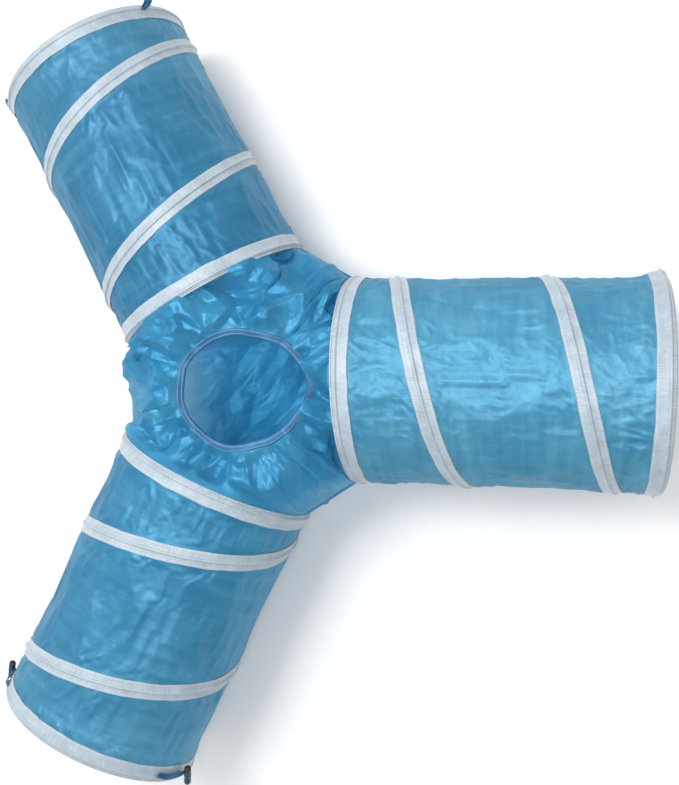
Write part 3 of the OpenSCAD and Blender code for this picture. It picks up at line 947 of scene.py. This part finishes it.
def make_hem(hub, near_hole):
    """The binding folded over the peephole's edge. It follows the draped cloth, whose rings start at the edge."""
    rings = points_of(hub.data)[np.array(near_hole)]
    for _ in range(2):
        rings = (np.roll(rings, 1, 1) + 2 * rings + np.roll(rings, -1, 1)) / 4
    away = np.concatenate([np.zeros((1, rings.shape[1])), np.cumsum(np.linalg.norm(np.diff(rings, axis=0), axis=2), 0)])

    def on_cloth(distance):
        """The points at a distance from the edge, over the cloth."""
        count = rings.shape[1]
        return np.array([[np.interp(distance, away[:, k], rings[:, k, i]) for i in range(3)] for k in range(count)])

    edge = rings[0]
    along = np.roll(edge, -1, 0) - np.roll(edge, 1, 0)
    along /= np.linalg.norm(along, axis=1)[:, None]
    outward = on_cloth(3 * MM) - edge
    outward -= (outward * along).sum(1)[:, None] * along
    outward /= np.linalg.norm(outward, axis=1)[:, None]
    up = np.cross(outward, along)
    up *= np.sign(up[:, 2:3])
    w, t = HEM_W, 0.9 * MM
    profile = [(w, 0.1 * MM), (w - 0.3 * MM, t), (w * 0.75, t * 1.15), (w * 0.5, t * 1.1), (w * 0.25, t),
               (0.2 * MM, t * 1.2), (-0.9 * MM, t * 0.7), (-1.2 * MM, 0), (-0.9 * MM, -t * 0.7), (0.2 * MM, -t * 1.2),
               (w * 0.5, -t), (w, -t)]
    rng = np.random.default_rng(8)
    count = len(edge)
    pucker = sum(noise(np.arange(count) * pace, 3.0, rng, 128, 8) for pace in (0.45, 0.15))[:, None]
    rows = [on_cloth(max(x, 0)) + outward * min(x, 0) + up * (z + 0.3 * MM * pucker * (x > 0)) for x, z in profile]
    points = np.stack(rows, 1)
    length = np.linalg.norm(np.diff(edge, axis=0, append=edge[:1]), axis=1)
    u = np.concatenate([[0], np.cumsum(length)])
    v = np.linspace(0, 2 * w, len(profile) + 1)
    obj = face_out(make_grid("peephole_hem", points, u, v, True, True, [HEM_BLUE, BLUE_THREAD]))
    knots = np.append(np.arange(count), count)

    def on_hem(x, y, z):
        place = np.interp(x, u, knots)
        k, f = place.astype(int) % count, (place % 1)[:, None]
        mix = lambda a: a[k] * (1 - f) + a[(k + 1) % count] * f
        return mix(inner_line) * (1 - y[:, None]) + mix(outer_line) * y[:, None] + mix(up) * z[:, None]

    inner_line, outer_line = on_cloth(1.8 * MM), on_cloth(w - 1.5 * MM)
    add_stitches(obj, on_hem, u[-1], (0, 1), 1.35 * MM, 2.6 * MM, 1.9 * MM, half=0.05)
    stands_in(obj, "blue_fabric", "hub", "peephole_binding")


def build_hub():
    """The hub's cloth and the hem of its peephole."""
    hub, near_hole = make_hub()
    stands_in(hub, "blue_fabric", "hub", "hub_roof_panel", "hub_floor_panel")
    make_hem(hub, near_hole)


# ---------------------------------------------------------------- loops, toggles and seam bindings
def strap(name, path, flat, width, thick, material, stitches=()):
    """A flat strap along a path of points. flat points across its width at each of them."""
    path, flat = np.asarray(path, float), np.asarray(flat, float)
    along = np.gradient(path, axis=0)
    along /= np.linalg.norm(along, axis=1)[:, None]
    flat = flat - (flat * along).sum(1)[:, None] * along
    flat /= np.linalg.norm(flat, axis=1)[:, None]
    face = np.cross(along, flat)
    outline = []
    for k in range(7):
        x = width * (k / 6 - 0.5)
        outline.append((x, thick / 2 * (1 - 0.25 * abs(k / 3 - 1) ** 3)))
    outline += [(width / 2 + thick * 0.15, 0)] + [(x, -z) for x, z in outline[::-1]] + [(-width / 2 - thick * 0.15, 0)]
    rows = np.stack([path + flat * x + face * z for x, z in outline], 1)
    length = np.concatenate([[0], np.cumsum(np.linalg.norm(np.diff(path, axis=0), axis=1))])
    v = np.linspace(0, 2 * width, len(outline) + 1)
    obj = face_out(make_grid(name, rows, length, v, False, True, [material, THREAD], caps=True))
    if len(stitches):
        knots = np.arange(len(path))

        def on_strap(x, y, z):
            place = np.clip(np.interp(x, length, knots), 0, len(path) - 1.001)
            k, f = place.astype(int), (place % 1)[:, None]
            mix = lambda a: a[k] * (1 - f) + a[k + 1] * f
            return mix(path) + mix(flat) * y[:, None] + mix(face) * z[:, None]

        add_stitches(obj, on_strap, length[-1], stitches, thick / 2 + 0.1 * MM, 2.2 * MM, 1.6 * MM)
    return obj


def curve(points, steps):
    """A smooth line through points, as steps points evenly spread between them."""
    points = np.asarray(points, float)
    ends = np.concatenate([2 * points[:1] - points[1:2], points, 2 * points[-1:] - points[-2:-1]])
    out = []
    for x in np.linspace(0, len(points) - 1 - 1e-9, steps):
        k, f = int(x), x % 1
        a, b, c, d = ends[k : k + 4]
        out.append(0.5 * (2 * b + (c - a) * f + (2 * a - 5 * b + 4 * c - d) * f**2 + (3 * b - a - 3 * c + d) * f**3))
    return np.array(out)


def directions(arm, s, phi):
    """At a place on an arm: outward along it, radially out, and round it to the right."""
    radial = math.cos(phi) * np.array([0, 0, 1.0]) + math.sin(phi) * arm.right
    return arm.out, radial, np.cross(arm.out, radial)


def make_loop(n):
    """A webbing loop at the mouth of arm B. It stands out of the rim, with both its ends sewn under the tape."""
    arm = arms["b"]
    node_name = f"arm_b_loop_{n}"
    s, phi, _ = arm.local(middle(node_name))
    out, radial, around = directions(arm, s, phi)
    if n == 1:
        root = arm.place(ARM_L - 1 * MM, phi, CLOTH_R + 3.6 * MM)
        up, side = radial, out
    else:
        root = arm.place(ARM_L + 3 * MM, phi, CLOTH_R + 1.5 * MM)
        up, side = out, radial
    wide, steps = 2.3 * MM, 60
    half = [(-4.0, 0.35), (-1.5, 0.35), (2, 0.5), (7, 0.9), (12, 1.0), (15.5, 0.75)]
    plan = half + [(17.2, 0.0)] + [(x, -y) for x, y in half[::-1]]
    path = curve([root + up * x * MM + side * y * wide + around * 0.5 * MM * math.sin(x * 0.3) for x, y in plan], steps)
    obj = strap(f"loop_{n}", path, np.tile(around, (steps, 1)), 7 * MM, 1.0 * MM, WEBBING, (-2.4 * MM, 2.4 * MM))
    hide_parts(node_name)
    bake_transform(obj)


def make_toggle(n):
    """A narrow strap over the rim of arm C, wrapped round the waist of a barrel that hangs at its end."""
    arm = arms["c"]
    s0, phi0, _ = arm.local(middle(f"toggle_{n}_strap"))
    s1, phi1, r1 = arm.local(middle(f"toggle_{n}_barrel"))
    centre = arm.place(s1, phi1, r1)
    side = 1 if phi0 > 0 else -1
    root_phi = phi0 - side * math.radians(9.5)
    top = CLOTH_R + 4.7 * MM
    share = np.linspace(0, 1, 40)
    phis = root_phi + side * math.radians(19) * share
    lift = 0.5 * MM * np.sin(share * math.pi * 3) + 1.2 * MM * np.sin(share * math.pi)
    path = arm.place(s0 + 0.8 * MM * np.sin(share * 5), phis, top + lift)
    root_tail = arm.place(s0, root_phi - side * np.linspace(0.05, 0, 8)[:-1], top - 1.2 * MM)
    path = np.concatenate([root_tail, path])
    flat = np.tile(arm.out, (len(path), 1))
    piece = strap(f"toggle_strap_{n}", path, flat, 6.4 * MM, 1.0 * MM, WEBBING, (-2.2 * MM, 2.2 * MM))
    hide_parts(f"toggle_{n}_strap")
    tuple(path[4])
    tuple(path[14])
    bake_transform(piece)

    out, radial, around = directions(arm, s1, phi1)
    lean = math.radians(BARREL_LEAN) * -side
    axis = math.cos(lean) * out - math.sin(lean) * around
    across = np.cross(axis, radial)
    length, radius = TOGGLE_L, TOGGLE_R
    cap = 0.06
    rounded = cap * (1 - np.cos(np.linspace(0.3, math.pi / 2, 6)))
    z = np.concatenate([[-0.5, -0.497], -0.5 + rounded, np.linspace(-0.40, 0.40, 25), 0.5 - rounded, [0.497, 0.5]])
    z = np.unique(z)
    end = np.clip((0.5 - np.abs(z)) / cap, 0, 1)
    waist = 0.16 * np.exp(-((z / 0.13) ** 2))
    swell = 0.05 * np.exp(-(((np.abs(z) - 0.28) / 0.08) ** 2))
    shape = np.maximum(np.sqrt(1 - (1 - end) ** 2) * (1 - waist + swell), 0.02)
    turn = circle(36)
    round_it = np.cos(turn)[:, None] * radial + np.sin(turn)[:, None] * across
    flute = 1 - 0.02 * np.cos(turn * 12)[None] * (np.abs(z) > 0.2)[:, None]
    points = centre + axis * (z * length)[:, None, None] + (radius * shape[:, None] * flute)[..., None] * round_it[None]
    skin = make_grid(f"toggle_barrel_{n}", points, z * length, radius * circle(36, True), False, True, BLACK, caps=True)
    barrel = face_out(skin)
    stands_in(barrel, "toggle_plastic", f"toggle_{n}", f"toggle_{n}_barrel")

    turns = np.linspace(-0.4, 2 * math.pi + 0.4, 64)
    wrap_r = radius * 0.84 + 0.55 * MM + 0.5 * MM * (turns > 2 * math.pi - 0.4)
    path = centre + wrap_r[:, None] * (np.cos(turns)[:, None] * -radial + np.sin(turns)[:, None] * across)
    wrap = strap(f"toggle_wrap_{n}", path, np.tile(axis, (64, 1)), 6.2 * MM, 0.9 * MM, WEBBING, (-2.1 * MM, 2.1 * MM))
    stands_in(wrap, "blue_fabric", f"toggle_{n}", f"toggle_{n}_wrap")


def make_seam_bindings():
    """The bound seam allowances that stand inside the hub at its three sides."""
    order = list(arms.values())
    parts = []
    for k, arm in enumerate(order):
        ahead = order[(k + 1) % 3]
        a = arm.place(HUB_EDGE, -math.pi / 2, CLOTH_R - 1 * MM)
        b = ahead.place(HUB_EDGE, math.pi / 2, CLOTH_R - 1 * MM)
        inward = -(a + b) / 2
        inward[2] = 0
        inward /= np.linalg.norm(inward)
        share = np.linspace(0.12, 0.88, 60)[:, None]
        wave = np.sin(share * 19 + k) * 0.9 * MM
        path = a * (1 - share) + b * share + inward * 5 * MM + np.array([0, 0, 1]) * wave
        flat = np.tile(inward, (60, 1))
        parts.append(strap(f"seam_binding_{k}", path, flat, 8 * MM, 1.6 * MM, HEM_BLUE, (-2.6 * MM,)))
    with bpy.context.temp_override(active_object=parts[0], selected_editable_objects=parts):
        bpy.ops.object.join()
    stands_in(parts[0], "blue_fabric", "hub", "hub_seam_bindings")


# ---------------------------------------------------------------- stage
def build_stage():
    """A white floor, a sky that is brighter on one side, and two soft lamps overhead."""
    half, low = 4.0, -0.3 * MM
    white = plain("floor_white", (0.94, 0.94, 0.94), 0.9, scale=40, depth=0.0, vary=0.01)
    corners = [(-half, -half, low), (half, -half, low), (half, half, low), (-half, half, low)]
    make_object("floor", corners, [(0, 1, 2, 3)], material=white)
    world = Tree(bpy.data.worlds.new("studio"))
    # A wide soft light from one side: the sky's brightness falls off from it to the other side.
    toward = world.add("VectorMath", operation="DOT_PRODUCT")
    toward.inputs[1].default_value = Vector((-0.62, 0.62, 0.48)).normalized()
    world.link(world.add("TexCoord").outputs["Generated"], toward.inputs[0])
    share = world.add("MapRange")
    share.inputs["From Min"].default_value = -1
    world.link(toward.outputs["Value"], share.inputs["Value"])
    sky = [(0.0, (0.39, 0.395, 0.40)), (0.55, (0.42, 0.425, 0.43)), (1.0, (1, 1, 1))]
    world.link(world.ramp(share.outputs["Result"], sky), world.nodes["Background"].inputs["Color"])
    world.nodes["Background"].inputs["Strength"].default_value = 1.0
    bpy.context.scene.world = world.owner
    for name, at, size, power in (("key", (-0.42, 0.36, 1.85), 0.7, 20), ("fill", (0.5, -0.28, 1.95), 0.5, 11)):
        light = bpy.data.lights.new(name, "AREA")
        light.energy, light.size = power, size
        obj = bpy.data.objects.new(name, light)
        obj.location = at
        obj.rotation_mode = "QUATERNION"
        obj.rotation_quaternion = (Vector((0, 0, 0.1)) - Vector(at)).to_track_quat("-Z", "Y")
        bpy.context.collection.objects.link(obj)
    bpy.context.scene.view_settings.view_transform = "Standard"


def build_camera():
    """A close camera above arm A, tilted down towards the hub."""
    at = (0.342, -0.089, 1.289)
    heading, down, roll = math.radians(162.93), math.radians(77.71), math.radians(-73.57)
    forward = Vector((math.cos(down) * math.cos(heading), math.cos(down) * math.sin(heading), -math.sin(down)))
    right = forward.cross(Vector((0, 0, 1))).normalized()
    up = right.cross(forward)
    turned_right = math.cos(roll) * right + math.sin(roll) * up
    turned_up = -math.sin(roll) * right + math.cos(roll) * up
    camera = bpy.data.cameras.new("camera")
    camera.sensor_width = 36
    camera.lens = 44.6217
    camera.clip_start, camera.clip_end = 0.05, 50
    obj = bpy.data.objects.new("camera", camera)
    obj.matrix_world = Matrix.Translation(at) @ Matrix([turned_right, turned_up, -forward]).transposed().to_4x4()
    bpy.context.collection.objects.link(obj)
    bpy.context.scene.camera = obj


build_camera()
build_stage()
for arm in arms.values():
    build_arm(arm)
build_hub()
make_seam_bindings()
for n in (1, 2):
    make_loop(n)
    make_toggle(n)
